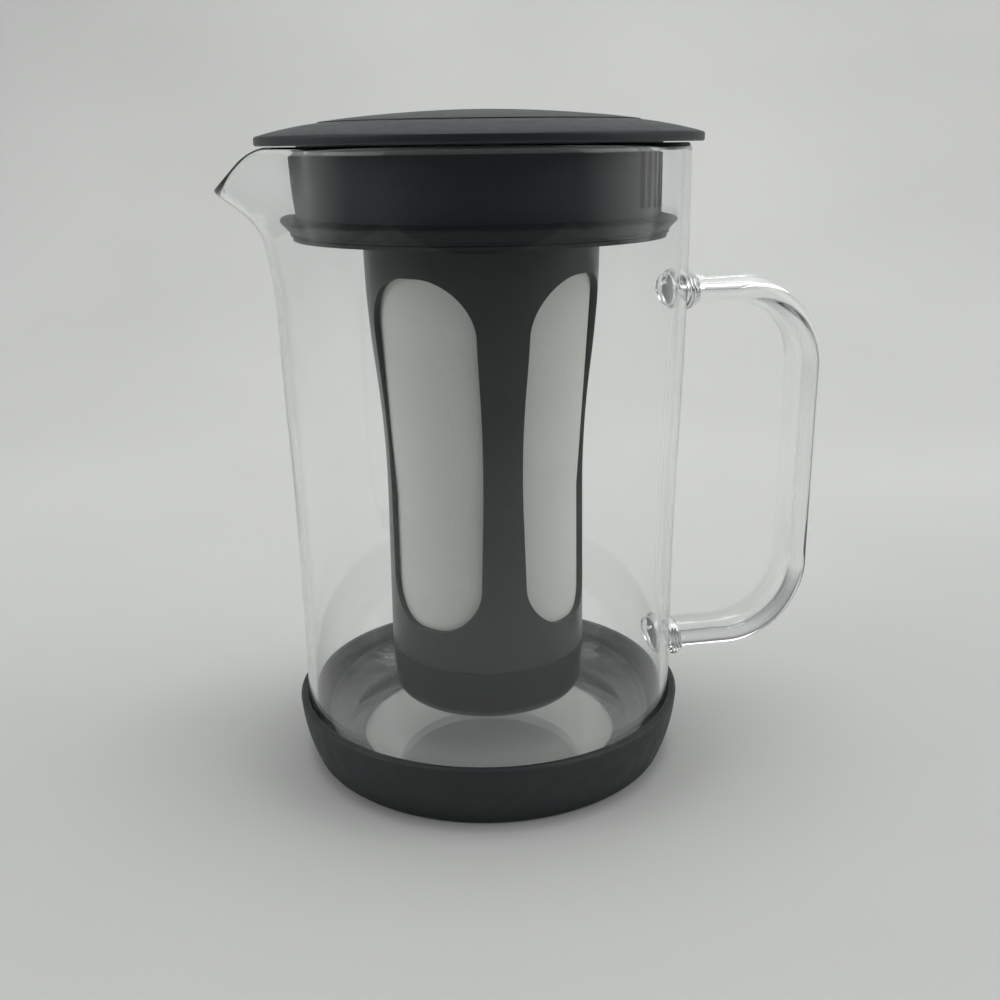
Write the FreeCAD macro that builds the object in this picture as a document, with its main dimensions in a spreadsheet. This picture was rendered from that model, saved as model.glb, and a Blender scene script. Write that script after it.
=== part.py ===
import FreeCAD, Part
import math
import os
import re
import Sketcher

# Cold brew coffee maker: a glass jug with a pulled spout and a bent glass handle, a soft boot round
# its foot, and a domed lid from which a long mesh filter hangs in the coffee.
# Millimetres, +Z up. The origin is the middle of the boot's foot, the spout points to -X and the
# handle to +X. Everything but the spout, the handle, the windows, the slots and the thread ridges is
# round about Z.

# Driving sizes
SIZES = {
    # boot
    "boot_height": 21.0,
    "boot_foot_radius": 60.0,
    "boot_top_radius": 65.0,
    "boot_floor": 2.4,
    "boot_hole_radius": 44.0,
    "boot_edge": 0.8,
    "boot_foot_edge": 1.6,
    "seat_gap": 0.1,
    # glass jug
    "jug_height": 199.5,
    "jug_foot_radius": 62.3,
    "jug_mouth_radius": 64.5,
    "jug_corner": 14.0,
    "jug_wall": 3.4,
    "jug_base": 4.6,
    "flare_start": 55.0,
    "flare_end_drop": 29.5,
    # spout
    "spout_reach": 16.4,
    "spout_tip_drop": 12.5,
    "spout_swell": 2.0,
    "spout_swell_drop": 49.5,
    "spout_knee_drop": 22.0,
    "spout_knee_softness": 1.6,
    "spout_half_angle": 28.0,
    "spout_nose_angle": 3.0,
    "spout_floor_drop": 0.6,
    "lip_slope_angle": 46.0,
    "lip_round": 16.0,
    "lip_lift": 0.4,
    # handle
    "handle_reach": 110.4,
    "handle_upper_drop": 46.0,
    "handle_lower_height": 31.5,
    "handle_thickness": 9.8,
    "handle_width": 20.0,
    "handle_upper_bend": 26.0,
    "handle_lower_bend": 28.0,
    "bead_flare": 1.7,
    "bead_length": 3.0,
    "bead_stand_off": 1.6,
    "bead_round": 1.2,
    # lid
    "lid_radius": 68.0,
    "lid_gap": 0.3,
    "lid_rim": 2.6,
    "lid_edge": 0.6,
    "lid_shoulder_rise": 3.8,
    "lid_bulge_radius": 110.0,
    "lid_plate": 2.4,
    "lid_socket_depth": 2.8,
    "disc_radius": 49.0,
    "disc_step": 0.6,
    "disc_crown": 3.0,
    "disc_gap": 0.2,
    # collar
    "collar_radius": 55.8,
    "collar_wall": 2.2,
    "collar_depth": 27.3,
    "collar_floor": 2.2,
    "flange_radius": 57.6,
    "flange_thickness": 1.1,
    "slot_count": 20,
    "slot_pitch_angle": 4.8,
    "slot_width": 2.6,
    "slot_height": 16.0,
    "slot_sill": 9.0,
    "slot_reach": 3.0,
    "port_count": 9,
    "port_pitch_angle": 10.0,
    "port_width": 5.0,
    "port_margin": 2.0,
    # gasket
    "gasket_gap": 0.3,
    "gasket_height": 5.2,
    "gasket_body": 2.2,
    "gasket_lip_drop": 1.1,
    "gasket_lip_edge": 0.5,
    "gasket_lip_undercut": 2.7,
    # filter socket, neck and thread ridges
    "socket_radius": 36.0,
    "socket_wall": 2.4,
    "socket_roof": 2.0,
    "neck_radius": 34.4,
    "neck_wall": 2.0,
    "neck_height": 13.5,
    "ridge_pitch": 5.0,
    "ridge_height": 1.15,
    "ridge_root": 1.8,
    "ridge_tip": 1.0,
    "ridge_turns": 0.5,
    "ridge_play": 0.2,
    "ridge_sink": 0.4,
    "ridge_margin": 1.2,
    "seal_gap": 0.3,
    "seal_thickness": 2.0,
    "seal_width": 3.2,
    # filter frame
    "frame_top_radius": 37.0,
    "frame_waist_radius": 32.3,
    "frame_foot_radius": 32.7,
    "frame_foot_height": 37.9,
    "frame_waist_height": 92.0,
    "frame_wall": 2.0,
    "window_head": 9.7,
    "window_sill": 12.6,
    "window_top_width": 38.4,
    "window_waist_width": 34.8,
    "window_top_round": 17.0,
    "window_bottom_round": 15.5,
    "window_count": 4,
    "window_turn_angle": 45.0,
    "mesh_thickness": 0.4,
    "mesh_gap": 0.05,
    "mesh_overlap": 2.5,
    "mesh_angle": 76.0,
    # bottom cap
    "spigot_radius": 28.6,
    "spigot_wall": 2.2,
    "spigot_length": 12.7,
    "cap_height": 17.1,
    "cap_gap": 0.3,
    "cap_foot_radius": 31.8,
    "cap_inner_chamfer": 1.5,
    "cap_wall": 2.5,
    "cap_floor": 2.1,
    "cap_round": 4.5,
}

doc = FreeCAD.newDocument("ColdBrewMaker")
sheet = doc.addObject("Spreadsheet::Sheet", "Sizes")
for row, (alias, value) in enumerate(SIZES.items(), start=1):
    sheet.set(f"A{row}", alias)
    sheet.set(f"B{row}", str(value))
    sheet.setAlias(f"B{row}", alias)
doc.recompute()

ALIAS = re.compile(r"\b(" + "|".join(sorted(SIZES, key=len, reverse=True)) + r")\b")


def bound(text):
    """The text with each size's name written as its cell."""
    return ALIAS.sub(r"Sizes.\1", text)


def value_of(text):
    """What such a text comes to now."""
    return float(sheet.evalExpression(bound(text)))


# Heights and radii that several pieces share, each as a text of sizes
JUG_FOOT = "(boot_floor + seat_gap)"
JUG_FLOOR = f"({JUG_FOOT} + jug_base)"
FLARE_END = "(jug_height - flare_end_drop)"
SPOUT_TIP = "(jug_height - spout_tip_drop)"
SPOUT_SWELL = "(jug_height - spout_swell_drop)"
SPOUT_KNEE = "(jug_height - spout_knee_drop)"
HANDLE_UPPER = "(jug_height - handle_upper_drop)"
LID_UNDERSIDE = "(jug_height + lid_gap)"
LID_RIM_TOP = f"({LID_UNDERSIDE} + lid_rim)"
LID_SHOULDER = f"({LID_RIM_TOP} + lid_shoulder_rise)"
LID_SOCKET_ROOF = f"({LID_UNDERSIDE} + lid_socket_depth)"
LID_RECESS = f"({LID_SOCKET_ROOF} + lid_plate)"
COLLAR_FOOT = f"({LID_UNDERSIDE} - collar_depth)"
COLLAR_FLOOR_TOP = f"({COLLAR_FOOT} + collar_floor)"
FRAME_TOP = f"({COLLAR_FOOT} - seal_gap)"
WINDOW_TOP = f"({FRAME_TOP} - window_head)"
WINDOW_BOTTOM = "(frame_foot_height + window_sill)"
NECK_TOP = f"({FRAME_TOP} + neck_height)"
SEAL_FOOT = f"({NECK_TOP} + seal_gap)"
SOCKET_ROOF = f"({SEAL_FOOT} + seal_thickness + seal_gap)"
SOCKET_RIDGE_START = f"({COLLAR_FOOT} + ridge_root / 2 + ridge_margin / 4)"
NECK_RIDGE_START = f"({SOCKET_RIDGE_START} + ridge_root + ridge_play)"
SPIGOT_FOOT = "(frame_foot_height - spigot_length)"
SPIGOT_RIDGE_START = f"({SPIGOT_FOOT} + ridge_root / 2 + ridge_margin)"
CAP_RIDGE_START = f"({SPIGOT_RIDGE_START} + ridge_root + ridge_play)"
CAP_TOP = "(frame_foot_height - cap_gap)"
CAP_FOOT = f"({CAP_TOP} - cap_height)"
CAP_FLOOR_TOP = f"({CAP_FOOT} + cap_floor)"
CAP_INNER = "(frame_foot_radius - cap_wall)"

nodes = []


def node(item, label):
    """Marks an object as a finished sub-part under its own label."""
    item.Label = label
    nodes.append(item)
    return item


def origin_plane(body, role):
    return next(f for f in body.Origin.OriginFeatures if f.Role == role)


def new_sketch(body, name, role, turn_text="0", shift_text="0"):
    """A sketch on a plane of the body's origin, turned about Z and moved along its own normal."""
    sketch = body.newObject("Sketcher::SketchObject", name)
    sketch.AttachmentSupport = [(origin_plane(body, role), "")]
    sketch.MapMode = "FlatFace"
    if turn_text != "0":
        flat = role == "XY_Plane"
        axis = FreeCAD.Vector(0, 0, 1) if flat else FreeCAD.Vector(0, 1, 0)
        turn = FreeCAD.Rotation(axis, value_of(turn_text))
        sketch.AttachmentOffset = FreeCAD.Placement(FreeCAD.Vector(), turn)
        if not flat:
            aside = f"({shift_text}) * sin({turn_text})"
            sketch.setExpression(".AttachmentOffset.Base.x", bound(aside))
            shift_text = f"({shift_text}) * cos({turn_text})"
    if shift_text != "0":
        sketch.setExpression(".AttachmentOffset.Base.z", bound(shift_text))
    return sketch


def pin_point(sketch, geo, pos, across, up):
    """Holds a point at the distances that the two texts give."""
    for kind, text, axis in (("DistanceX", across, -2), ("DistanceY", up, -1)):
        distance = value_of(text)
        if abs(distance) < 1e-9:
            sketch.addConstraint(Sketcher.Constraint("PointOnObject", geo, pos, axis))
            continue
        index = sketch.addConstraint(Sketcher.Constraint(kind, -1, 1, geo, pos, distance))
        sketch.setExpression(f"Constraints[{index}]", bound(text))


def arc_between(start, end, radius, side):
    """The arc of that radius from start to end that swells to the left (+1) or the right (-1)."""
    chord = end - start
    half = chord.Length / 2
    normal = FreeCAD.Vector(-chord.y, chord.x, 0).normalize()
    rise = radius - math.sqrt(max(radius**2 - half**2, 0.0))
    middle = (start + end) / 2 + normal * rise * side
    return Part.Arc(start, middle, end)


def draw_outline(sketch, corners):
    """A closed outline. Each corner is (across, up), or (across, up, radius, side) where the edge
    that leaves it is an arc."""
    points = [FreeCAD.Vector(value_of(c[0]), value_of(c[1]), 0) for c in corners]
    ends = []
    for i, corner in enumerate(corners):
        start, end = points[i], points[(i + 1) % len(points)]
        if len(corner) == 2:
            geo = sketch.addGeometry(Part.LineSegment(start, end), False)
            ends.append((geo, 1, 2))
            continue
        geo = sketch.addGeometry(arc_between(start, end, value_of(corner[2]), corner[3]), False)
        forward = (sketch.getPoint(geo, 1) - start).Length < (sketch.getPoint(geo, 2) - start).Length
        ends.append((geo, 1, 2) if forward else (geo, 2, 1))
    for i, (geo, _, last) in enumerate(ends):
        following, first, _ = ends[(i + 1) % len(ends)]
        sketch.addConstraint(Sketcher.Constraint("Coincident", geo, last, following, first))
    for corner, (geo, first, _) in zip(corners, ends):
        pin_point(sketch, geo, first, corner[0], corner[1])
    for corner, (geo, _, _) in zip(corners, ends):
        if len(corner) > 2:
            index = sketch.addConstraint(Sketcher.Constraint("Radius", geo, value_of(corner[2])))
            sketch.setExpression(f"Constraints[{index}]", bound(corner[2]))


def turned_body(name, corners, angle_text=None):
    """A body made by turning an outline of radius and height about Z."""
    body = doc.addObject("PartDesign::Body", name)
    sketch = new_sketch(body, name + "_outline", "XZ_Plane")
    draw_outline(sketch, corners)
    turn = body.newObject("PartDesign::Revolution", name + "_turn")
    turn.Profile = sketch
    turn.ReferenceAxis = (sketch, ["V_Axis"])
    turn.Angle = 360.0
    if angle_text:
        turn.Midplane = True
        turn.setExpression("Angle", bound(angle_text))
    sketch.Visibility = False
    doc.recompute()
    return body


def add_ridge(body, name, corners):
    """A thread ridge: a small outline carried round Z along a right-hand helix."""
    before = body.Shape.Volume
    sketch = new_sketch(body, name + "_outline", "XZ_Plane")
    draw_outline(sketch, corners)
    ridge = body.newObject("PartDesign::AdditiveHelix", name)
    ridge.Profile = sketch
    ridge.ReferenceAxis = (sketch, ["V_Axis"])
    ridge.Mode = "pitch-turns-angle"
    ridge.setExpression("Pitch", bound("ridge_pitch"))
    ridge.setExpression("Turns", bound("ridge_turns"))
    sketch.Visibility = False
    body.Tip = ridge
    doc.recompute()
    if body.Shape.Volume <= before:
        raise RuntimeError(name + " adds nothing")


def outer_ridge(wall_text, start_text):
    """The outline of a ridge that stands out of an outer wall."""
    root = f"{wall_text} - ridge_sink"
    tip = f"{wall_text} + ridge_height"
    return [
        (root, f"{start_text} - ridge_root / 2"),
        (tip, f"{start_text} - ridge_tip / 2"),
        (tip, f"{start_text} + ridge_tip / 2"),
        (root, f"{start_text} + ridge_root / 2"),
    ]


def inner_ridge(wall_text, start_text):
    """The outline of a ridge that stands into a bore."""
    root = f"{wall_text} + ridge_sink"
    tip = f"{wall_text} - ridge_height"
    return [
        (tip, f"{start_text} - ridge_tip / 2"),
        (root, f"{start_text} - ridge_root / 2"),
        (root, f"{start_text} + ridge_root / 2"),
        (tip, f"{start_text} + ridge_tip / 2"),
    ]


def cut_pattern(body, name, sketch, length_text, reversed_cut, count_text, span_text):
    """A pocket from a sketch, repeated about Z; the body has to lose volume at each step."""
    before = body.Shape.Volume
    pocket = body.newObject("PartDesign::Pocket", name)
    pocket.Profile = sketch
    pocket.setExpression("Length", bound(length_text))
    pocket.Reversed = reversed_cut
    sketch.Visibility = False
    body.Tip = pocket
    doc.recompute()
    once = body.Shape.Volume
    pattern = body.newObject("PartDesign::PolarPattern", name + "_round")
    pattern.Originals = [pocket]
    pattern.Axis = (origin_plane(body, "Z_Axis"), [""])
    pattern.setExpression("Occurrences", bound(count_text))
    pattern.setExpression("Angle", bound(span_text))
    body.Tip = pattern
    doc.recompute()
    if not body.Shape.Volume < once < before:
        raise RuntimeError(name + " cuts nothing")


def round_edges(body, name, radius_text, chosen):
    """Fillets the edges of the body for which chosen(edge) is true."""
    last = body.Tip
    names = [f"Edge{i}" for i, edge in enumerate(last.Shape.Edges, start=1) if chosen(edge)]
    if not names:
        raise RuntimeError(name + " finds no edges")
    fillet = body.newObject("PartDesign::Fillet", name)
    fillet.Base = (last, names)
    fillet.setExpression("Radius", bound(radius_text))
    body.Tip = fillet
    doc.recompute()


# Glass jug. Its wall is a loft, so its levels are worked out from the sizes as they stand now.
now = {alias: value_of(alias) for alias in SIZES}
flare_end, spout_tip = value_of(FLARE_END), value_of(SPOUT_TIP)
spout_swell, spout_knee = value_of(SPOUT_SWELL), value_of(SPOUT_KNEE)
FLARE_RUN = (flare_end - now["flare_start"]) / 2
FLARE_RISE = (now["jug_mouth_radius"] - now["jug_foot_radius"]) / 2
SPOUT_SLOPE = (now["spout_reach"] - now["spout_swell"]) / (spout_tip - spout_knee)


def wall_radius(height):
    """The jug's outer radius: it widens from foot to mouth along two arcs that meet halfway."""
    if height <= now["flare_start"] or not FLARE_RISE:
        return now["jug_foot_radius"]
    if height >= flare_end:
        return now["jug_mouth_radius"]
    bend = (FLARE_RUN**2 + FLARE_RISE**2) / (2 * FLARE_RISE)
    climbed = height - now["flare_start"]
    if climbed <= FLARE_RUN:
        return now["jug_foot_radius"] + bend - math.sqrt(bend**2 - climbed**2)
    left = flare_end - height
    return now["jug_mouth_radius"] - bend + math.sqrt(bend**2 - left**2)


def spout_push(angle, height):
    """How far the spout pulls the wall out at that angle from its middle."""
    away = math.hypot(angle, now["spout_nose_angle"]) - now["spout_nose_angle"]
    share = max(0.0, 1.0 - away / now["spout_half_angle"]) ** 2
    part_way = min(max((height - spout_swell) / (spout_knee - spout_swell), 0.0), 1.0)
    swell = now["spout_swell"] * part_way**2 * (3 - 2 * part_way)
    soft = now["spout_knee_softness"]
    over_knee = soft * math.log1p(math.exp((height - spout_knee) / soft))
    return share * (swell + SPOUT_SLOPE * over_knee * min(1.0, part_way * 2))


def glass_ring(height, inset, drop):
    """One level of the jug's wall as a closed smooth wire."""
    near = range(-30, 31, 3)
    far = range(45, 316, 15)
    points = []
    for angle in [*near, *far]:
        offset = abs(angle) if angle < 180 else 360 - angle
        radius = wall_radius(height) - inset + spout_push(offset, height - drop)
        turn = math.radians(180 + angle)
        points.append(FreeCAD.Vector(radius * math.cos(turn), radius * math.sin(turn), height))
    curve = Part.BSplineCurve()
    curve.interpolate(Points=points, PeriodicFlag=True)
    return Part.Wire([curve.toShape()])


def corner_rings(foot_height, corner, inset):
    """The levels of the rounded foot, each a round wire with the same points as the wall's."""
    rings = []
    steps = 6
    for step in range(steps):
        tilt = math.radians(90 * step / steps)
        shrink = corner * (1 - math.sin(tilt))
        height = foot_height + corner * (1 - math.cos(tilt))
        rings.append(glass_ring(height, inset + shrink, 0.0))
    return rings


def glass_solid(foot, corner, inset, drop, top):
    """A closed block with the jug's outside, or with its inside when inset by the wall."""
    start = foot + corner
    straight = [start + (spout_swell - start) * i / 8 for i in range(9)]
    knee, mouth = spout_knee - now["spout_knee_softness"], now["jug_height"]
    swell = [straight[-1] + (knee - straight[-1]) * i / 6 for i in range(1, 7)]
    flare = [swell[-1] + (mouth - swell[-1]) * i / 8 for i in range(1, 9)]
    levels = straight + swell + flare
    rings = corner_rings(foot, corner, inset) + [glass_ring(z, inset, drop) for z in levels]
    if top > mouth:
        rings.append(glass_ring(top, inset, drop))
    return Part.makeLoft(rings, True, False)


def computed(name, shape):
    """A feature whose shape is set here, with its placement set after its shape."""
    item = doc.addObject("Part::Feature", name)
    item.Shape = shape
    item.Placement = FreeCAD.Placement()
    return item


def lip_trim():
    """The block that is cut away above the spout's drooping lip, seen from the side."""
    mouth = now["jug_height"] + now["lip_lift"]
    tip_x = -(now["jug_mouth_radius"] + now["spout_reach"])
    tip_z = spout_tip
    slope, bend = math.radians(now["lip_slope_angle"]), now["lip_round"]
    fall = bend * (1 - math.cos(slope))
    knee_z = mouth - fall
    knee_x = tip_x + (knee_z - tip_z) / math.tan(slope)
    start_x = knee_x + bend * math.sin(slope)
    beyond = 2 * now["spout_reach"]
    far_x, far_z = tip_x - beyond, tip_z - beyond * math.tan(slope)
    side = now["jug_mouth_radius"]
    high = mouth + side
    bend_centre = FreeCAD.Vector(start_x, -side, mouth - bend)
    half_turn = slope / 2
    middle = bend_centre + FreeCAD.Vector(-bend * math.sin(half_turn), 0, bend * math.cos(half_turn))
    start, knee = FreeCAD.Vector(start_x, -side, mouth), FreeCAD.Vector(knee_x, -side, knee_z)
    far = FreeCAD.Vector(far_x, -side, far_z)
    far_top, start_top = FreeCAD.Vector(far_x, -side, high), FreeCAD.Vector(start_x, -side, high)
    edges = [
        Part.Arc(start, middle, knee).toShape(),
        Part.makeLine(knee, far),
        Part.makeLine(far, far_top),
        Part.makeLine(far_top, start_top),
        Part.makeLine(start_top, start),
    ]
    return Part.Face(Part.Wire(edges)).extrude(FreeCAD.Vector(0, 2 * side, 0))


jug_foot, jug_floor = value_of(JUG_FOOT), value_of(JUG_FLOOR)
block = glass_solid(jug_foot, now["jug_corner"], 0.0, 0.0, now["jug_height"])
glass_block = computed("glass_block", block)
inner_corner = max(now["jug_corner"] - now["jug_wall"], now["jug_wall"] / 2)
above_mouth = now["jug_height"] + now["jug_wall"]
hollow = glass_solid(jug_floor, inner_corner, now["jug_wall"], now["spout_floor_drop"], above_mouth)
glass_hollow = computed("glass_hollow", hollow)
lip_block = computed("lip_block", lip_trim())

open_jug = doc.addObject("Part::Cut", "open_jug")
open_jug.Base = glass_block
open_jug.Tool = glass_hollow
jug = doc.addObject("Part::Cut", "jug")
jug.Base = open_jug
jug.Tool = lip_block
node(jug, "glass_jug")

# Handle: an oval glass rod, bent twice, with a flared bead where each end is fused to the wall
handle_rod = doc.addObject("PartDesign::Body", "handle_rod")
spine = new_sketch(handle_rod, "handle_spine", "XZ_Plane")
HANDLE_START = "(jug_foot_radius - jug_wall / 2)"
spine_points = [
    (HANDLE_START, HANDLE_UPPER),
    ("handle_reach - handle_upper_bend", HANDLE_UPPER),
    ("handle_reach", f"{HANDLE_UPPER} - handle_upper_bend"),
    ("handle_reach", "handle_lower_height + handle_lower_bend"),
    ("handle_reach - handle_lower_bend", "handle_lower_height"),
    (HANDLE_START, "handle_lower_height"),
]
spine_bends = {1: "handle_upper_bend", 3: "handle_lower_bend"}
points = [FreeCAD.Vector(value_of(x), value_of(z), 0) for x, z in spine_points]
spine_edges = []
for i in range(len(points) - 1):
    if i in spine_bends:
        bend = value_of(spine_bends[i])
        quarter = math.sqrt(0.5)
        centre = FreeCAD.Vector(points[i].x, points[i + 1].y, 0)
        if i == 3:
            centre = FreeCAD.Vector(points[i + 1].x, points[i].y, 0)
        outward = FreeCAD.Vector(1, 1 if i == 1 else -1, 0) * quarter
        arc = Part.Arc(points[i], centre + outward * bend, points[i + 1])
        geo = spine.addGeometry(arc, False)
        spine_edges.append((geo, 2, 1))
    else:
        geo = spine.addGeometry(Part.LineSegment(points[i], points[i + 1]), False)
        spine_edges.append((geo, 1, 2))
for (geo, _, last), (following, first, _) in zip(spine_edges, spine_edges[1:]):
    spine.addConstraint(Sketcher.Constraint("Coincident", geo, last, following, first))
for (geo, first, _), (across, up) in zip(spine_edges, spine_points):
    pin_point(spine, geo, first, across, up)
pin_point(spine, spine_edges[-1][0], 2, *spine_points[-1])
for i, text in spine_bends.items():
    index = spine.addConstraint(Sketcher.Constraint("Radius", spine_edges[i][0], value_of(text)))
    spine.setExpression(f"Constraints[{index}]", bound(text))


def oval_sketch(body, name, height_text, shift_text, grow_text):
    """The rod's oval section, wide across Y, at a given height and distance from the axis."""
    sketch = new_sketch(body, name, "YZ_Plane", shift_text=shift_text)
    wide = value_of(f"handle_width / 2 + {grow_text}")
    thick = value_of(f"handle_thickness / 2 + {grow_text}")
    centre = FreeCAD.Vector(0, value_of(height_text), 0)
    ellipse = Part.Ellipse(
        centre + FreeCAD.Vector(wide, 0, 0), centre + FreeCAD.Vector(0, thick, 0), centre
    )
    geo = sketch.addGeometry(ellipse, False)
    sketch.exposeInternalGeometry(geo)
    sketch.addConstraint(Sketcher.Constraint("PointOnObject", geo, 3, -2))
    index = sketch.addConstraint(
        Sketcher.Constraint("DistanceY", -1, 1, geo, 3, value_of(height_text))
    )
    sketch.setExpression(f"Constraints[{index}]", bound(height_text))
    sketch.addConstraint(Sketcher.Constraint("Horizontal", geo + 1))
    for axis, text in ((geo + 1, "handle_width"), (geo + 2, "handle_thickness")):
        full = f"{text} + 2 * {grow_text}"
        index = sketch.addConstraint(Sketcher.Constraint("Distance", axis, value_of(full)))
        sketch.setExpression(f"Constraints[{index}]", bound(full))
    return sketch


section = oval_sketch(handle_rod, "handle_section", HANDLE_UPPER, HANDLE_START, "0")
doc.recompute()
rod = handle_rod.newObject("PartDesign::AdditivePipe", "handle_pipe")
rod.Profile = section
rod.Spine = spine
rod.Mode = "Standard"
handle_rod.Tip = rod
doc.recompute()
arms = [
    ("upper", HANDLE_UPPER, "jug_mouth_radius"),
    ("lower", "handle_lower_height", "jug_foot_radius"),
]
for place, height_text, wall_text in arms:
    start_text = f"{wall_text} + bead_stand_off"
    bead_name = place + "_bead_outline"
    bead_outline = oval_sketch(handle_rod, bead_name, height_text, start_text, "bead_flare")
    bead = handle_rod.newObject("PartDesign::Pad", place + "_bead")
    bead.Profile = bead_outline
    bead.setExpression("Length", bound("bead_length"))
    handle_rod.Tip = bead
    doc.recompute()


def is_bead_edge(edge):
    """True on the two rims of each bead."""
    full = now["handle_width"] + 2 * now["bead_flare"]
    return abs(edge.BoundBox.YLength - full) < 1e-3 and edge.BoundBox.XLength < 1e-3


round_edges(handle_rod, "bead_rounds", "bead_round", is_bead_edge)
handle = doc.addObject("Part::Cut", "handle")
handle.Base = handle_rod
handle.Tool = glass_block
node(handle, "glass_handle")

# Boot: a soft cup round the foot, its floor an inward ring with an open middle
BOOT_INNER = "(jug_foot_radius + seat_gap)"
boot = turned_body(
    "boot",
    [
        ("boot_hole_radius", "0"),
        ("boot_foot_radius - boot_foot_edge", "0", "boot_foot_edge", -1),
        ("boot_foot_radius", "boot_foot_edge"),
        ("boot_top_radius", "boot_height - boot_edge"),
        ("boot_top_radius - boot_edge", "boot_height"),
        (BOOT_INNER, "boot_height"),
        (BOOT_INNER, f"{JUG_FOOT} + jug_corner", "jug_corner + seat_gap", 1),
        ("jug_foot_radius - jug_corner", "boot_floor"),
        ("boot_hole_radius", "boot_floor"),
    ],
)
node(boot, "base_boot")

# Lid cover: a dome with a flat rim, a recess on top for the disc and one below for the collar
lid_cover = turned_body(
    "cover",
    [
        ("0", LID_SOCKET_ROOF),
        ("collar_radius + disc_gap", LID_SOCKET_ROOF),
        ("collar_radius + disc_gap", LID_UNDERSIDE),
        ("lid_radius - lid_edge", LID_UNDERSIDE),
        ("lid_radius", f"{LID_UNDERSIDE} + lid_edge"),
        ("lid_radius", f"{LID_RIM_TOP} - lid_edge"),
        ("lid_radius - lid_edge", LID_RIM_TOP, "lid_bulge_radius", -1),
        ("disc_radius + disc_gap", LID_SHOULDER),
        ("disc_radius + disc_gap", LID_RECESS),
        ("0", LID_RECESS),
    ],
)
node(lid_cover, "lid_cover")

# Lid disc: the raised middle of the dome, let into the cover
DISC_EDGE_TOP = f"({LID_SHOULDER} + disc_step)"
disc = turned_body(
    "disc",
    [
        ("0", f"{LID_RECESS} + disc_gap / 2"),
        ("disc_radius", f"{LID_RECESS} + disc_gap / 2"),
        (
            "disc_radius",
            DISC_EDGE_TOP,
            "(disc_radius ^ 2 + disc_crown ^ 2) / (2 * disc_crown)",
            -1,
        ),
        ("0", f"{DISC_EDGE_TOP} + disc_crown"),
    ],
)
node(disc, "lid_disc")

# Collar: skirt, floor and filter socket in one, with strainer slots and pour ports to the handle side
COLLAR_INNER = "(collar_radius - collar_wall)"
SOCKET_OUTER = "(socket_radius + socket_wall)"
collar = turned_body(
    "collar",
    [
        ("0", SOCKET_ROOF),
        ("socket_radius", SOCKET_ROOF),
        ("socket_radius", COLLAR_FOOT),
        ("flange_radius", COLLAR_FOOT),
        ("flange_radius", f"{COLLAR_FOOT} + flange_thickness"),
        ("collar_radius", f"{COLLAR_FOOT} + flange_thickness"),
        ("collar_radius", f"{LID_SOCKET_ROOF} - disc_gap"),
        (COLLAR_INNER, f"{LID_SOCKET_ROOF} - disc_gap"),
        (COLLAR_INNER, COLLAR_FLOOR_TOP),
        (SOCKET_OUTER, COLLAR_FLOOR_TOP),
        (SOCKET_OUTER, f"{SOCKET_ROOF} + socket_roof"),
        ("0", f"{SOCKET_ROOF} + socket_roof"),
    ],
)
add_ridge(collar, "socket_ridge", inner_ridge("socket_radius", SOCKET_RIDGE_START))

SLOT_START = "-(slot_count - 1) * slot_pitch_angle / 2"
slot_outline = new_sketch(collar, "slot_outline", "YZ_Plane", SLOT_START, COLLAR_INNER + " - slot_reach")
SLOT_FOOT = f"({COLLAR_FOOT} + slot_sill)"
draw_outline(
    slot_outline,
    [
        ("-slot_width / 2", SLOT_FOOT),
        ("slot_width / 2", SLOT_FOOT),
        ("slot_width / 2", f"{SLOT_FOOT} + slot_height"),
        ("-slot_width / 2", f"{SLOT_FOOT} + slot_height"),
    ],
)
slot_span = "(slot_count - 1) * slot_pitch_angle"
slot_length = "collar_wall + 2 * slot_reach"
cut_pattern(collar, "strainer_slot", slot_outline, slot_length, True, "slot_count", slot_span)

PORT_START = "-(port_count - 1) * port_pitch_angle / 2"
port_outline = new_sketch(collar, "port_outline", "XY_Plane", PORT_START, COLLAR_FLOOR_TOP)
draw_outline(
    port_outline,
    [
        (f"{SOCKET_OUTER} + port_margin", "-port_width / 2"),
        (f"{COLLAR_INNER} - port_margin", "-port_width / 2"),
        (f"{COLLAR_INNER} - port_margin", "port_width / 2"),
        (f"{SOCKET_OUTER} + port_margin", "port_width / 2"),
    ],
)
port_span = "(port_count - 1) * port_pitch_angle"
port_depth = "collar_floor * 2"
cut_pattern(collar, "pour_port", port_outline, port_depth, False, "port_count", port_span)
node(collar, "lid_collar")

# Gasket: a ring with a thin lip that wipes the jug's wall
GASKET_INNER = "(collar_radius + gasket_gap)"
GASKET_FOOT = f"({COLLAR_FOOT} + flange_thickness + gasket_gap)"
GASKET_TOP = f"({GASKET_FOOT} + gasket_height)"
LIP_RADIUS = "(jug_mouth_radius - jug_wall - gasket_gap)"
LIP_TOP = f"({GASKET_TOP} - gasket_lip_drop)"
gasket = turned_body(
    "gasket",
    [
        (GASKET_INNER, GASKET_FOOT),
        (f"{GASKET_INNER} + gasket_body", GASKET_FOOT),
        (f"{GASKET_INNER} + gasket_body", f"{LIP_TOP} - gasket_lip_edge - gasket_lip_undercut"),
        (LIP_RADIUS, f"{LIP_TOP} - gasket_lip_edge"),
        (LIP_RADIUS, LIP_TOP),
        (GASKET_INNER, GASKET_TOP),
    ],
)
node(gasket, "lid_gasket")


def washer(name, label, outer_text, foot_text):
    """A flat soft ring of the seals' thickness and width."""
    ring = turned_body(
        name,
        [
            (f"{outer_text} - seal_width", foot_text),
            (outer_text, foot_text),
            (outer_text, f"{foot_text} + seal_thickness"),
            (f"{outer_text} - seal_width", f"{foot_text} + seal_thickness"),
        ],
    )
    node(ring, label)


washer("neck_seal", "filter_seal", "(neck_radius + seal_gap)", SEAL_FOOT)

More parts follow.
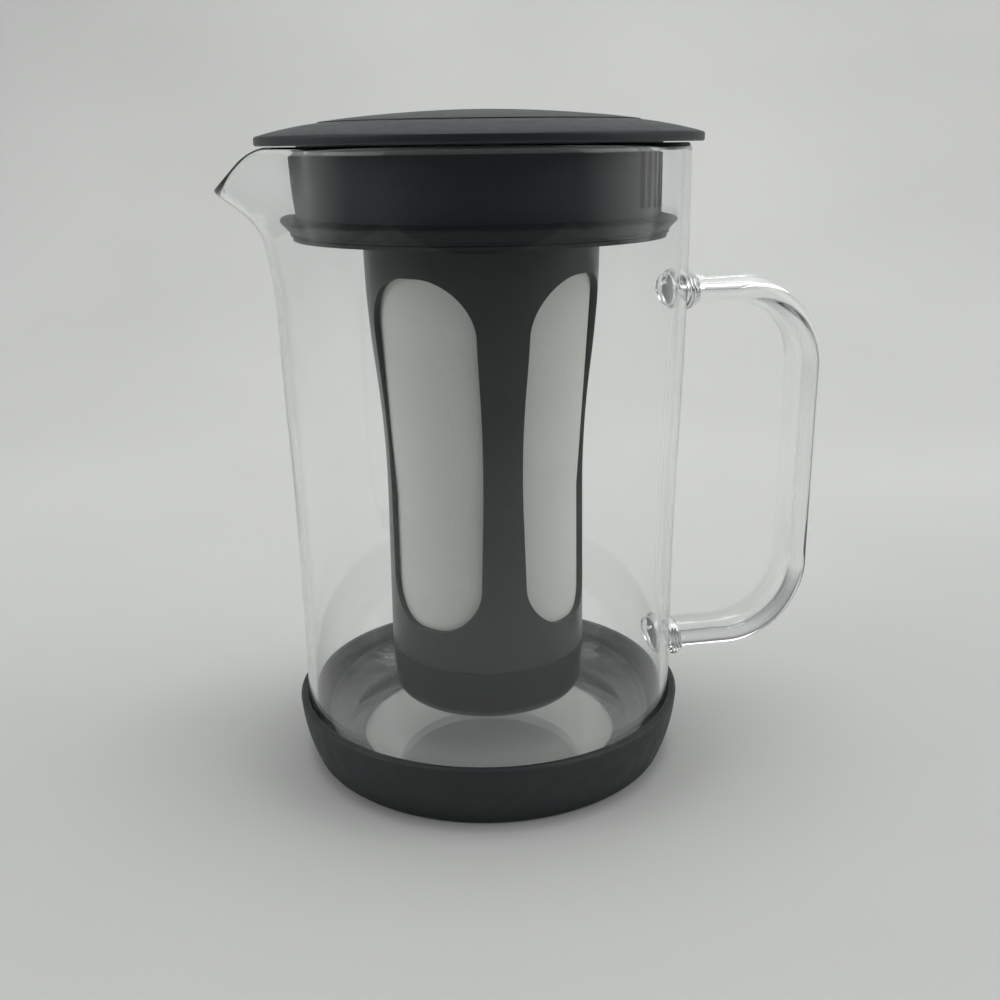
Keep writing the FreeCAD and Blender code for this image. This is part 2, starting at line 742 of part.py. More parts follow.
# Filter frame: an hourglass shell with four tall windows, a threaded neck and a threaded spigot
FRAME_RISE = "((frame_top_radius - frame_waist_radius) / 2)"
FRAME_RUN = f"(({FRAME_TOP} - frame_waist_height) / 2)"
FRAME_BEND = f"(({FRAME_RUN} ^ 2 + {FRAME_RISE} ^ 2) / (2 * {FRAME_RISE}))"
FRAME_MIDDLE = f"(frame_waist_height + {FRAME_RUN})"
NECK_INNER = "(neck_radius - neck_wall)"
SPIGOT_INNER = "(spigot_radius - spigot_wall)"
FRAME_TOP_INNER = "(frame_top_radius - frame_wall)"
FRAME_WAIST_INNER = "(frame_waist_radius - frame_wall)"
FRAME_FOOT_INNER = "(frame_foot_radius - frame_wall)"
INNER_TOP = f"({FRAME_TOP} - frame_wall - (frame_top_radius - neck_radius))"
INNER_FOOT = "(frame_foot_height + frame_foot_radius - spigot_radius)"
frame = turned_body(
    "frame",
    [
        (SPIGOT_INNER, SPIGOT_FOOT),
        ("spigot_radius", SPIGOT_FOOT),
        ("spigot_radius", "frame_foot_height"),
        ("frame_foot_radius", "frame_foot_height"),
        ("frame_waist_radius", "frame_waist_height", FRAME_BEND, 1),
        (f"frame_waist_radius + {FRAME_RISE}", FRAME_MIDDLE, FRAME_BEND, -1),
        ("frame_top_radius", FRAME_TOP),
        ("neck_radius", FRAME_TOP),
        ("neck_radius", NECK_TOP),
        (NECK_INNER, NECK_TOP),
        (NECK_INNER, f"{FRAME_TOP} - frame_wall"),
        (FRAME_TOP_INNER, INNER_TOP),
        (FRAME_WAIST_INNER, "frame_waist_height"),
        (FRAME_FOOT_INNER, INNER_FOOT),
        (SPIGOT_INNER, "frame_foot_height - frame_wall"),
    ],
)
add_ridge(frame, "neck_ridge", outer_ridge("neck_radius", NECK_RIDGE_START))
add_ridge(frame, "spigot_ridge", outer_ridge("spigot_radius", SPIGOT_RIDGE_START))
window_outline = new_sketch(frame, "window_outline", "YZ_Plane", "window_turn_angle")
draw_outline(
    window_outline,
    [
        ("-window_waist_width / 2 + window_bottom_round", WINDOW_BOTTOM),
        (
            "window_waist_width / 2 - window_bottom_round",
            WINDOW_BOTTOM,
            "window_bottom_round",
            -1,
        ),
        ("window_waist_width / 2", f"{WINDOW_BOTTOM} + window_bottom_round"),
        ("window_top_width / 2", f"{WINDOW_TOP} - window_top_round", "window_top_round", -1),
        ("window_top_width / 2 - window_top_round", WINDOW_TOP),
        (
            "-window_top_width / 2 + window_top_round",
            WINDOW_TOP,
            "window_top_round",
            -1,
        ),
        ("-window_top_width / 2", f"{WINDOW_TOP} - window_top_round"),
        (
            "-window_waist_width / 2",
            f"{WINDOW_BOTTOM} + window_bottom_round",
            "window_bottom_round",
            -1,
        ),
    ],
)
cut_pattern(frame, "window", window_outline, "frame_top_radius + 1", True, "window_count", "360")
node(frame, "filter_frame")

# Mesh panels: one thin curved sheet behind each window, against the frame's inner wall
MESH_TOP = f"({WINDOW_TOP} + mesh_overlap)"
MESH_FOOT = f"({WINDOW_BOTTOM} - mesh_overlap)"


def inner_wall_radius(end_radius, end_height, height):
    """The frame's inner radius at a height on the straight run from its waist to an end."""
    share = f"({height} - frame_waist_height) / ({end_height} - frame_waist_height)"
    return f"({FRAME_WAIST_INNER} + ({end_radius} - {FRAME_WAIST_INNER}) * {share} - mesh_gap)"


MESH_TOP_RADIUS = inner_wall_radius(FRAME_TOP_INNER, INNER_TOP, MESH_TOP)
MESH_FOOT_RADIUS = inner_wall_radius(FRAME_FOOT_INNER, INNER_FOOT, MESH_FOOT)
MESH_WAIST_RADIUS = f"({FRAME_WAIST_INNER} - mesh_gap)"
for index in range(int(SIZES["window_count"])):
    mesh = turned_body(
        f"mesh_{index + 1}",
        [
            (MESH_FOOT_RADIUS, MESH_FOOT),
            (MESH_WAIST_RADIUS, "frame_waist_height"),
            (MESH_TOP_RADIUS, MESH_TOP),
            (f"{MESH_TOP_RADIUS} - mesh_thickness", MESH_TOP),
            (f"{MESH_WAIST_RADIUS} - mesh_thickness", "frame_waist_height"),
            (f"{MESH_FOOT_RADIUS} - mesh_thickness", MESH_FOOT),
        ],
        "mesh_angle",
    )
    place = value_of(f"window_turn_angle + 360 / window_count * {index}")
    turn = FreeCAD.Rotation(FreeCAD.Vector(0, 0, 1), place)
    mesh.Placement = FreeCAD.Placement(FreeCAD.Vector(), turn)
    node(mesh, f"mesh_panel_{index + 1}")

# Bottom cap: a shallow threaded cup that closes the frame's foot, with its own soft ring
cap = turned_body(
    "cap",
    [
        ("0", CAP_FOOT),
        ("cap_foot_radius - cap_round", CAP_FOOT, "cap_round", -1),
        ("cap_foot_radius", f"{CAP_FOOT} + cap_round"),
        ("frame_foot_radius", CAP_TOP),
        (CAP_INNER, CAP_TOP),
        (CAP_INNER, f"{CAP_FLOOR_TOP} + cap_inner_chamfer"),
        (f"{CAP_INNER} - cap_inner_chamfer", CAP_FLOOR_TOP),
        ("0", CAP_FLOOR_TOP),
    ],
)
add_ridge(cap, "cap_ridge", inner_ridge(CAP_INNER, CAP_RIDGE_START))
node(cap, "bottom_cap")
washer("foot_seal", "cap_seal", "spigot_radius", f"({CAP_FLOOR_TOP} + seal_gap)")

# Every object has to be sound, and every sub-part a valid solid, before anything is written
doc.recompute()
for item in doc.Objects:
    if {"Invalid", "Error"} & set(item.State):
        raise RuntimeError(f"{item.Name} failed: {item.State}")
for item in nodes:
    if item.Shape.isNull() or not item.Shape.isValid():
        raise RuntimeError(item.Label + " has no valid shape")

os.makedirs("parts", exist_ok=True)
for item in nodes:
    item.Shape.exportStep(os.path.join("parts", item.Label + ".step"))
    print(f"{item.Label}: {item.Shape.Volume / 1000:.2f} cm3")
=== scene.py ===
import math

import bmesh
import bpy
from mathutils import Matrix, Quaternion, Vector


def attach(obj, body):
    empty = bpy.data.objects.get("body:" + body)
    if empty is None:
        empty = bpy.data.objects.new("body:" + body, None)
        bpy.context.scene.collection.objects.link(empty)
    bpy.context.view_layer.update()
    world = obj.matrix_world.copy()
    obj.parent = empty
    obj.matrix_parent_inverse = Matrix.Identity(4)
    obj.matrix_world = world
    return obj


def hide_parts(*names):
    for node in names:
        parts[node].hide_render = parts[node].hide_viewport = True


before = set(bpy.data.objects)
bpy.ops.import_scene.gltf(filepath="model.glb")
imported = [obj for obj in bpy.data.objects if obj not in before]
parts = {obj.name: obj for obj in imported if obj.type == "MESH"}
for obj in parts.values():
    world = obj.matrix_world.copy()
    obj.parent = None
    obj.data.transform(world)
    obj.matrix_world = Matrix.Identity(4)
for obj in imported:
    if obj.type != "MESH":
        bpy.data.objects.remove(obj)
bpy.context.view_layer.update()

# Cold brew coffee maker, in metres, in the frame of the solids: +Z up, the spout to -X and the
# handle to +X. Shapes are written in millimetres and scaled by MM as they are made.
MM = 0.001
ORIGIN = (0, 0, 0)
UP = (0, 0, 1)


# Shaping

def finished(bm, name, smooth_below=35.0):
    """The mesh as an object at the origin, smooth where its faces meet at less than that angle."""
    mesh = bpy.data.meshes.new(name)
    bm.to_mesh(mesh)
    bm.free()
    smoothed(mesh, smooth_below)
    piece = bpy.data.objects.new(name, mesh)
    bpy.context.scene.collection.objects.link(piece)
    return piece


def smoothed(mesh, below):
    """Shades the mesh smooth, with its edges sharp from that angle up."""
    mesh.shade_smooth()
    mesh.set_sharp_from_angle(angle=math.radians(below))


def rounded(bm, point, radius, steps):
    """Rounds a corner of a wire where its two arms meet."""
    arms = [edge.other_vert(point).co - point.co for edge in point.link_edges]
    reach = radius / math.tan(arms[0].angle(arms[1]) / 2)
    bmesh.ops.bevel(bm, geom=[point], offset=reach, offset_type="OFFSET", segments=steps,
                    profile=0.5, affect="VERTICES", material=-1)


def outline(corners, closed):
    """A bmesh with one wire in the XZ plane. Each corner is (radius, height), and (radius, height,
    rounding, steps) where it is rounded."""
    bm = bmesh.new()
    points = [bm.verts.new((corner[0] * MM, 0, corner[1] * MM)) for corner in corners]
    pairs = list(zip(points, points[1:]))
    if closed:
        pairs.append((points[-1], points[0]))
    for pair in pairs:
        bm.edges.new(pair)
    for point, corner in zip(points, corners):
        if len(corner) > 2:
            rounded(bm, point, corner[2] * MM, corner[3])
    return bm


def turn(bm, steps):
    """Turns the wire about Z and closes its seam and poles."""
    bmesh.ops.spin(bm, geom=bm.verts[:] + bm.edges[:], cent=ORIGIN, axis=UP, dvec=ORIGIN,
                   angle=math.tau, steps=steps, use_merge=True)
    bmesh.ops.remove_doubles(bm, verts=bm.verts[:], dist=0.005 * MM)
    bmesh.ops.recalc_face_normals(bm, faces=bm.faces[:])


def turned(name, corners, closed=False):
    """A round piece made from its outline. An open outline starts and ends on the axis."""
    bm = outline(corners, closed)
    turn(bm, 180)
    return finished(bm, name)


def swept(bm, edges, move):
    """Sweeps the edges by that movement and returns the edges at the far side."""
    made = bmesh.ops.extrude_edge_only(bm, edges=edges)["geom"]
    far = {item for item in made if isinstance(item, bmesh.types.BMVert)}
    bmesh.ops.transform(bm, matrix=move, verts=list(far))
    return [item for item in made
            if isinstance(item, bmesh.types.BMEdge) and far.issuperset(item.verts)]


# Finishes. Colours are linear, roughnesses and depths are pairs from low to high.

def add(tree, kind, inputs=None, **settings):
    """A new node. Each input, by name or number, is a value or the output that feeds it."""
    node = tree.nodes.new("ShaderNode" + kind)
    for name, value in settings.items():
        setattr(node, name, value)
    feed(tree, node, inputs or {})
    return node


def feed(tree, node, inputs):
    """Sets a node's inputs, or links them where the value is an output."""
    for key, value in inputs.items():
        socket = node.inputs[key]
        if isinstance(value, bpy.types.NodeSocket):
            tree.links.new(value, socket)
        elif socket.type == "RGBA":
            socket.default_value = (*value, 1)
        else:
            socket.default_value = value


def finish_of(name):
    """A new material with its node tree and its Principled shader."""
    material = bpy.data.materials.new(name)
    material.use_nodes = True
    tree = material.node_tree
    return material, tree, tree.nodes["Principled BSDF"]


def place_on(tree):
    """The piece's own coordinates."""
    return add(tree, "TexCoord").outputs["Object"]


def noise(tree, scale, detail=3.0, stretch=(1, 1, 1)):
    """The factor of a noise on the piece's own coordinates, scale in features a metre."""
    mapping = add(tree, "Mapping", {"Vector": place_on(tree), "Scale": stretch})
    texture = add(tree, "TexNoise", {"Vector": mapping.outputs["Vector"], "Scale": scale,
                                     "Detail": detail, "Roughness": 0.5})
    return texture.outputs["Fac"]


def ramp(tree, factor, low, high, start=0.35, end=0.65):
    """A number that goes from low to high as the factor goes from start to end."""
    node = add(tree, "MapRange", {"Value": factor, "From Min": start, "From Max": end,
                                  "To Min": low, "To Max": high})
    return node.outputs["Result"]


def between(tree, factor, low, high):
    """A colour that goes from low to high as the factor goes from 0 to 1."""
    return add(tree, "Mix", {0: factor, 6: low, 7: high}, data_type="RGBA").outputs[2]


def maths(tree, operation, one, other=0.0):
    """The result of a sum on two numbers or outputs."""
    return add(tree, "Math", {0: one, 1: other}, operation=operation).outputs[0]


def relief(tree, shader, height, strength, depth):
    """Bumps the shader with a height of up to depth metres."""
    node = add(tree, "Bump", {"Height": height, "Strength": strength, "Distance": depth})
    feed(tree, shader, {"Normal": node.outputs["Normal"]})


def specks(tree):
    """1 on small dots scattered about, 140 to a metre, and 0 elsewhere."""
    texture = add(tree, "TexVoronoi", {"Vector": place_on(tree), "Scale": 140.0,
                                       "Randomness": 1.0})
    return ramp(tree, texture.outputs["Distance"], 1, 0, 0.0175, 0.035)


def moulded(name, dark, light, roughness, grain, depth, dust=None, gloss=0.5):
    """Moulded plastic or silicone: a mottled charcoal with a fine moulded grain and some dust."""
    material, tree, shader = finish_of(name)
    colour = between(tree, ramp(tree, noise(tree, 45.0), 0, 1), dark, light)
    if dust:
        colour = between(tree, specks(tree), colour, dust)
    feed(tree, shader, {"Base Color": colour,
                        "Roughness": ramp(tree, noise(tree, 220.0, 4.0), *roughness),
                        "Specular IOR Level": gloss})
    relief(tree, shader, noise(tree, grain, 2.0), 0.5, depth)
    return material


def clear_glass():
    """Clear blown glass with a faint ripple, which lets light through to what it holds."""
    material, tree, shader = finish_of("clear_glass_finish")
    feed(tree, shader, {"IOR": 1.47, "Base Color": (0.985, 0.995, 0.99), "Roughness": 0.0,
                        "Transmission Weight": 1.0})
    relief(tree, shader, noise(tree, 28.0, 1.0, (1, 1, 0.35)), 0.25, 0.35 * MM)
    through = add(tree, "BsdfTransparent", {"Color": (0.98, 0.99, 0.985)})
    path = add(tree, "LightPath")
    lit = maths(tree, "MAXIMUM", path.outputs["Is Shadow Ray"], path.outputs["Is Diffuse Ray"])
    mix = add(tree, "MixShader", {0: lit, 1: shader.outputs[0], 2: through.outputs[0]})
    feed(tree, tree.nodes["Material Output"], {"Surface": mix.outputs[0]})
    return material


def mesh_weave():
    """Fine woven filter mesh: threads round and up the panel, paler where they cross."""
    material, tree, shader = finish_of("mesh_weave")
    split = add(tree, "SeparateXYZ", {0: place_on(tree)})
    panel_radius, spacing = 31 * MM, 0.55 * MM
    threads = math.tau / spacing
    angle = maths(tree, "ARCTAN2", split.outputs["Y"], split.outputs["X"])
    around = maths(tree, "SINE", maths(tree, "MULTIPLY", angle, threads * panel_radius))
    upward = maths(tree, "SINE", maths(tree, "MULTIPLY", split.outputs["Z"], threads))
    weave = maths(tree, "MULTIPLY", maths(tree, "ADD", around, upward), 0.25)
    weave = maths(tree, "ADD", weave, 0.5)
    mottle = maths(tree, "ADD", maths(tree, "MULTIPLY", weave, 0.35),
                   maths(tree, "MULTIPLY", noise(tree, 30.0, 2.0), 0.65))
    feed(tree, shader, {"Base Color": between(tree, ramp(tree, mottle, 0, 1),
                                              (0.82, 0.83, 0.79), (0.89, 0.90, 0.86)),
                        "Roughness": 0.7,
                        "Sheen Weight": 0.2,
                        "Alpha": ramp(tree, weave, 0.84, 0.97, 0.1, 0.9)})
    relief(tree, shader, weave, 0.4, 0.08 * MM)
    return material


glass_finish = clear_glass()
weave_finish = mesh_weave()
lid_finish = moulded(
    "lid_satin_charcoal", dark=(0.023, 0.031, 0.033), light=(0.027, 0.035, 0.037),
    roughness=(0.42, 0.48), grain=3000.0, depth=0.006 * MM, gloss=0.38)
filter_finish = moulded(
    "filter_satin_charcoal", dark=(0.008, 0.012, 0.0125), light=(0.011, 0.015, 0.0155),
    roughness=(0.28, 0.34), grain=300.0, depth=0.004 * MM, dust=(0.12, 0.13, 0.13))
boot_finish = moulded(
    "boot_matte_silicone", dark=(0.018, 0.026, 0.026), light=(0.022, 0.030, 0.030),
    roughness=(0.50, 0.62), grain=3200.0, depth=0.016 * MM, dust=(0.25, 0.25, 0.24))
seal_finish = moulded(
    "seal_matte_silicone", dark=(0.010, 0.012, 0.014), light=(0.014, 0.016, 0.018),
    roughness=(0.40, 0.52), grain=3200.0, depth=0.012 * MM)


# Glass jug and handle, one piece of glass

FOOT, FLOOR, MOUTH = 2.5, 7.1, 199.5
FOOT_RADIUS, WALL = 62.3, 2.6
FOOT_ROUND, FLOOR_ROUND = 14.0, 11.4
RIM_ROUND, RIM_STRETCH = 1.25, 2.6  # the rim's rounding, and how much taller than wide it is

# The wall flares from this height along two arcs, each of that run and rise.
FLARE_FROM, FLARE_RUN, FLARE_RISE = 55.0, 57.5, 1.1

# The spout: its reach to each side in degrees, the gentle swell under it, and the knee above which
# it leans out by that slope
SPOUT_FROM = 165.0
SPOUT_REACH, SPOUT_SOFT = 28.0, 3.0
SWELL_FROM, SWELL_RUN, SWELL = 150.0, 27.5, 2.0
KNEE, KNEE_SOFT, KNEE_SLOPE = 177.5, 3.0, 1.53

# The mouth's edge, level and then bent down to the spout's tip
LIP_FROM, LIP_TOP, LIP_BEND = 61.65, 199.9, 16.0
LIP_SLOPE = math.radians(46.0)
TIP_REACH, TIP_HEIGHT = 80.9, 187.0

HANDLE_TOP, HANDLE_FOOT, HANDLE_REACH = 153.5, 31.5, 110.4
TOP_BEND, FOOT_BEND = 26, 28
ROD_WIDE, ROD_THICK = 10.0, 4.9
# How the rod grows into its bead: distance off the wall, and growth of its oval section
ROOT = [(-1.6, 0.4), (0.0, 0.4), (0.6, 0.05), (1.2, 0.1), (1.5, 0.7), (1.8, 1.3), (2.2, 1.5),
        (2.5, 1.0), (2.8, 1.55), (3.1, 1.7), (3.4, 1.1), (3.7, 1.6), (4.0, 1.4), (4.3, 0.9),
        (4.6, 0.4), (5.2, 0.1), (6.5, 0.0)]


def wall_radius(height):
    """The jug's outer radius, which widens from foot to mouth."""
    bend = (FLARE_RUN**2 + FLARE_RISE**2) / (2 * FLARE_RISE)
    climbed = min(max(height - FLARE_FROM, 0.0), 2 * FLARE_RUN)
    if climbed <= FLARE_RUN:
        return FOOT_RADIUS + bend - math.sqrt(bend**2 - climbed**2)
    left = 2 * FLARE_RUN - climbed
    return FOOT_RADIUS + 2 * FLARE_RISE - bend + math.sqrt(bend**2 - left**2)


def spout_push(angle, height):
    """How far the spout pulls the wall out, at that angle in degrees from its middle."""
    off_middle = (math.hypot(angle, SPOUT_SOFT) - SPOUT_SOFT) / SPOUT_REACH
    part_way = min(max((height - SWELL_FROM) / SWELL_RUN, 0.0), 1.0)
    swell = SWELL * part_way**2 * (3 - 2 * part_way)
    over_knee = KNEE_SOFT * math.log1p(math.exp((height - KNEE) / KNEE_SOFT))
    lean = KNEE_SLOPE * over_knee * min(1.0, part_way * 2)
    return max(0.0, 1.0 - off_middle) ** 2 * (swell + lean)


def glass_radius(angle, height, inset):
    """The radius of the glass at a depth of inset under its outer face."""
    height -= 0.6 * inset / WALL
    return wall_radius(height) - inset + spout_push(angle, height)


def lip_height(across):
    """The height of the mouth's edge at that distance towards the spout."""
    if across <= LIP_FROM:
        return MOUTH
    if across < LIP_FROM + LIP_BEND * math.sin(LIP_SLOPE):
        drop = LIP_BEND - math.sqrt(LIP_BEND**2 - (across - LIP_FROM) ** 2)
        return min(MOUTH, LIP_TOP - drop)
    return TIP_HEIGHT + (TIP_REACH - across) * math.tan(LIP_SLOPE)


def column_top(angle, inset):
    """The height at which the wall meets the mouth's edge, found by halving."""
    if angle >= SPOUT_REACH + SPOUT_SOFT:
        return MOUTH
    low, high = SPOUT_FROM, MOUTH
    for _ in range(24):
        middle = (low + high) / 2
        across = glass_radius(angle, middle, inset) * math.cos(math.radians(angle))
        if middle < lip_height(across):
            low = middle
        else:
            high = middle
    return high


def jug_wall():
    """The jug's body: its outline turned, flared and pulled out into the spout."""
    bm = outline([
        (0, FOOT + 0.15), (5.0, FOOT + 0.15, 6.0, 4), (10.5, FOOT, 6.0, 4),
        (FOOT_RADIUS, FOOT, FOOT_ROUND, 14), (FOOT_RADIUS, MOUTH, RIM_ROUND, 6),
        (FOOT_RADIUS - WALL, MOUTH, RIM_ROUND, 6), (FOOT_RADIUS - WALL, FLOOR, FLOOR_ROUND, 12),
        (13.0, FLOOR, 14.0, 4), (6.0, FLOOR - 0.25, 10.0, 4), (0, FLOOR - 0.25)], closed=False)
    # Rings up the wall, closer together towards the spout
    rings = [20 + 5 * i for i in range(27)] + [153 + 2.5 * i for i in range(8)]
    rings += [172.5 + 1.1 * i for i in range(22)]
    for height in rings:
        bmesh.ops.bisect_plane(bm, geom=bm.verts[:] + bm.edges[:], dist=0.01 * MM,
                               plane_co=(0, 0, height * MM), plane_no=UP)
    turn(bm, 320)
    for vert in bm.verts:
        radius, height = vert.co.xy.length / MM, vert.co.z / MM
        inset = FOOT_RADIUS - radius
        if inset > WALL + 0.01 or height < FLARE_FROM:
            continue
        if height > MOUTH - RIM_ROUND:
            height = MOUTH - (MOUTH - height) * RIM_STRETCH
        angle = abs(math.degrees(math.atan2(vert.co.y, -vert.co.x)))
        if height > SPOUT_FROM:
            share = (column_top(angle, inset) - SPOUT_FROM) / (MOUTH - SPOUT_FROM)
            height = SPOUT_FROM + (height - SPOUT_FROM) * share
        ring = vert.co.xy.normalized() * glass_radius(angle, height, inset)
        vert.co = Vector((ring.x, ring.y, height)) * MM
    return finished(bm, "jug_glass", 60.0)


def bend_stations(radius, height, first_tilt):
    """Stations a quarter round a bend of that radius, whose middle is at that height."""
    stations = []
    for tilt in range(first_tilt, first_tilt + 91, 5):
        turned_by = math.radians(tilt)
        across = HANDLE_REACH - radius + radius * math.sin(turned_by)
        stations.append((across, height + radius * math.cos(turned_by), tilt, 0))
    return stations


def handle_rod():
    """The handle: an oval rod carried from bead to bead round its two bends."""
    upper, lower = HANDLE_TOP - TOP_BEND, HANDLE_FOOT + FOOT_BEND
    stations = [(wall_radius(HANDLE_TOP) + off, HANDLE_TOP, 0, grow) for off, grow in ROOT]
    stations += bend_stations(TOP_BEND, upper, 0)
    stations += [(HANDLE_REACH, upper - (upper - lower) * i / 8, 90, 0) for i in range(1, 8)]
    stations += bend_stations(FOOT_BEND, lower, 90)
    stations += [(FOOT_RADIUS + off, HANDLE_FOOT, 180, grow) for off, grow in reversed(ROOT)]

    bm = bmesh.new()
    bmesh.ops.create_circle(bm, segments=56, radius=1.0, cap_ends=True,
                            matrix=Matrix.Rotation(math.radians(90), 4, "Y"))
    ring, stand = bm.edges[:], None
    for across, height, tilt, grow in stations:
        place = Matrix.Translation((across * MM, 0, height * MM))
        place = place @ Matrix.Rotation(math.radians(tilt), 4, "Y")
        place = place @ Matrix.Diagonal((1, (ROD_WIDE + grow) * MM, (ROD_THICK + grow) * MM, 1))
        if stand is None:
            bmesh.ops.transform(bm, matrix=place, verts=bm.verts[:])
        else:
            ring = swept(bm, ring, place @ stand.inverted())
        stand = place
    bmesh.ops.contextual_create(bm, geom=ring)
    bmesh.ops.recalc_face_normals(bm, faces=bm.faces[:])
    return finished(bm, "handle_rod", 60.0)


def fuse(body, other):
    """Melts the other piece into the body."""
    fusing = body.modifiers.new("fusing", "BOOLEAN")
    fusing.operation = "UNION"
    fusing.solver = "EXACT"
    fusing.object = other
    bpy.context.view_layer.update()
    shaped = body.evaluated_get(bpy.context.evaluated_depsgraph_get())
    mesh = bpy.data.meshes.new_from_object(shaped)
    body.modifiers.clear()
    body.data = mesh
    smoothed(mesh, 60.0)
    bpy.data.objects.remove(other)


jug = jug_wall()
fuse(jug, handle_rod())
jug.data.materials.append(glass_finish)
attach(jug, "jug")
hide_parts("glass_jug", "glass_handle")


# Base boot: closed round the foot of the glass, 0.15 off its side and 0.1 under it

SEAT_RADIUS, SEAT = 62.45, 2.4
BOOT_TOP, BOOT_OPENING = 21.0, 44.0

boot = turned("boot_sleeve", [
    (BOOT_OPENING, 0.0, 0.6, 3), (60.0, 0.0, 1.6, 5), (63.9, 9.5, 45.0, 8), (65.0, 20.2, 0.3, 2),
    (64.3, BOOT_TOP, 0.3, 2), (SEAT_RADIUS, BOOT_TOP, 0.3, 2), (SEAT_RADIUS, SEAT, 14.05, 14),
    (BOOT_OPENING, SEAT, 0.6, 3)], closed=True)
boot.data.materials.append(boot_finish)
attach(boot, "jug")
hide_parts("base_boot")


# Lid: the dome with its recesses, and the raised middle let into it

dome = turned("lid_dome", [
    (0.0, 202.6), (56.0, 202.6), (56.0, 199.8, 0.3, 2), (68.0, 199.8, 0.7, 4),
    (68.0, 202.4, 0.7, 4), (58.46, 205.07, 100.0, 10), (49.15, 206.2, 0.12, 2), (49.15, 205.0),
    (0.0, 205.0)])
middle = turned("lid_middle", [
    (0.0, 205.05), (49.0, 205.05), (49.0, 206.5, 0.15, 3), (24.59, 209.8, 340.0, 14),
    (0.0, 209.8)])
for piece, node in ((dome, "lid_cover"), (middle, "lid_disc")):
    piece.data.materials.append(lid_finish)
    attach(piece, "lid")
    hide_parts(node)


# Finishes of the solids that are shown as they are

FINISHES = {
    "lid_collar": lid_finish,
    "filter_frame": filter_finish,
    "bottom_cap": filter_finish,
    "lid_gasket": seal_finish,
    "filter_seal": seal_finish,
    "cap_seal": seal_finish,
}
FINISHES.update({f"mesh_panel_{index}": weave_finish for index in range(1, 5)})
for name, material in FINISHES.items():
    for material_slot in parts[name].material_slots:
        material_slot.material = material


# Studio, in metres in a frame turned so that +Y is the way the camera looks: a pale floor that
# curves up into its backdrop, with painted shade that darkens it towards the near side, soft
# lamps, and a darker world on the near side

LOOK_AZIMUTH = math.radians(79.44)
looking = Quaternion(UP, LOOK_AZIMUTH - math.radians(90))
FLOOR_NEAR, BACKDROP, BACKDROP_TOP, FLOOR_WIDTH = -2.0, 1.1, 2.4, 4.4
# Where the painted shade on the near floor is full, and where it has faded out
PAINTED_SHADE_FULL_BEFORE, PAINTED_SHADE_ENDS_AT = -0.5, -0.2


def across_look(tree, place, direction):
    """How far a place or a direction lies along one in the studio's frame."""
    node = add(tree, "VectorMath", {0: place, 1: looking @ Vector(direction)},
               operation="DOT_PRODUCT")
    return node.outputs["Value"]


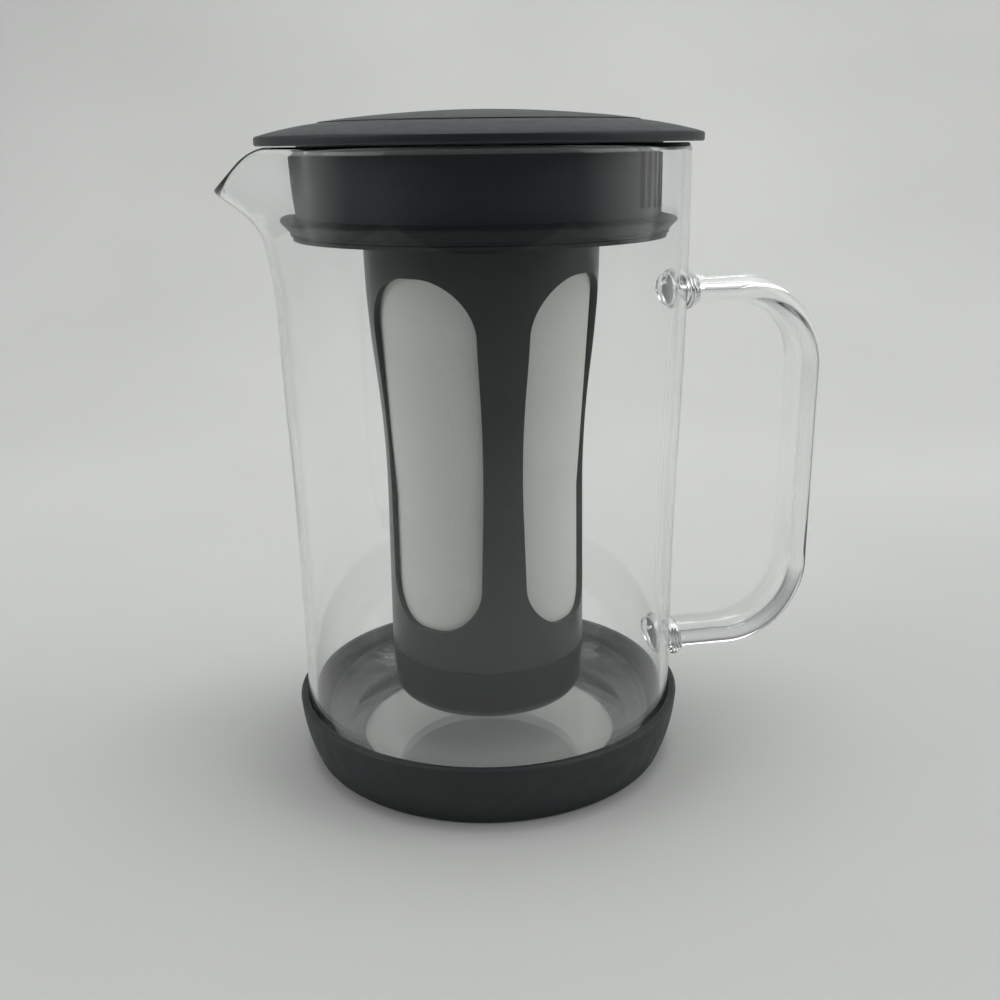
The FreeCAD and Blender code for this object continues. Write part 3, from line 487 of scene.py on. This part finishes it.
def studio_floor():
    """The floor and the backdrop, one sheet seen from its front."""
    bm = bmesh.new()
    points = [bm.verts.new(place) for place in (
        (0, FLOOR_NEAR, 0), (0, BACKDROP, 0), (0, BACKDROP, BACKDROP_TOP))]
    for pair in zip(points, points[1:]):
        bm.edges.new(pair)
    bmesh.ops.bevel(bm, geom=[points[1]], offset=0.7, offset_type="OFFSET", segments=24,
                    profile=0.5, affect="VERTICES", material=-1)
    bmesh.ops.translate(bm, verts=bm.verts[:], vec=(-FLOOR_WIDTH / 2, 0, 0))
    swept(bm, bm.edges[:], Matrix.Translation((FLOOR_WIDTH, 0, 0)))
    bmesh.ops.recalc_face_normals(bm, faces=bm.faces[:])
    bmesh.ops.transform(bm, matrix=looking.to_matrix().to_4x4(), verts=bm.verts[:])
    floor = finished(bm, "studio_floor", 60.0)

    material, tree, shader = finish_of("pale_paper_with_painted_near_shade")
    paper = between(tree, ramp(tree, noise(tree, 3.0), 0, 1), (0.62, 0.627, 0.615),
                    (0.66, 0.667, 0.655))
    # Painted shade: the floor is painted down to a dark grey towards the near side, standing in
    # for the shade in front of the object
    painted_near_shade = ramp(tree, across_look(tree, place_on(tree), (0, 1, 0)), 1, 0, PAINTED_SHADE_FULL_BEFORE, PAINTED_SHADE_ENDS_AT)
    feed(tree, shader, {"Base Color": between(tree, painted_near_shade, paper, (0.26, 0.265, 0.26)),
                        "Roughness": 0.9, "Specular IOR Level": 0.2})
    floor.data.materials.append(material)


def lamp(name, place, size, power, target=(0, 0, 0.1)):
    """A large soft lamp that points at the middle of the object, or at another place."""
    light = bpy.data.lights.new(name, "AREA")
    light.shape = "RECTANGLE"
    light.size, light.size_y = size
    light.energy = power
    stand = bpy.data.objects.new(name, light)
    stand.location = looking @ Vector(place)
    aim = looking @ Vector(target) - stand.location
    stand.rotation_euler = aim.to_track_quat("-Z", "Y").to_euler()
    bpy.context.scene.collection.objects.link(stand)


studio_floor()
lamp("overhead_lamp", (0.0, 0.05, 1.6), (0.9, 0.4), 6.0)
lamp("backdrop_lamp", (0.2, 0.2, 0.95), (1.4, 0.4), 5.0, target=(0.2, 1.1, 0.5))
lamp("left_lamp", (-1.3, -0.5, 0.8), (1.0, 0.9), 4.5)
lamp("right_lamp", (1.3, -0.4, 0.9), (1.0, 0.9), 4.0)

world = bpy.data.worlds.new("studio_air")
bpy.context.scene.world = world
world.use_nodes = True
air = world.node_tree
facing = across_look(air, add(air, "TexCoord").outputs["Generated"], (0.15, 1.0, 0.2))
sky = between(air, ramp(air, facing, 0, 1, -0.45, 0.3), (0.05, 0.053, 0.058), (0.80, 0.81, 0.80))
feed(air, air.nodes["Background"], {"Color": sky})


# Camera

CAMERA_PLACE = (-63.5, -366.9, 199.6)
PITCH, ROLL = math.radians(-17.03), -0.0131

camera_data = bpy.data.cameras.new("camera")
camera_data.lens = 41.83
camera_data.sensor_width = 36.0
camera = bpy.data.objects.new("camera", camera_data)
camera.location = Vector(CAMERA_PLACE) * MM
gaze = Vector((math.cos(LOOK_AZIMUTH) * math.cos(PITCH), math.sin(LOOK_AZIMUTH) * math.cos(PITCH),
               math.sin(PITCH)))
camera.rotation_mode = "QUATERNION"
camera.rotation_quaternion = gaze.to_track_quat("-Z", "Y") @ Quaternion(UP, ROLL)
bpy.context.scene.collection.objects.link(camera)
bpy.context.scene.camera = camera
bpy.context.scene.view_settings.view_transform = "Standard"
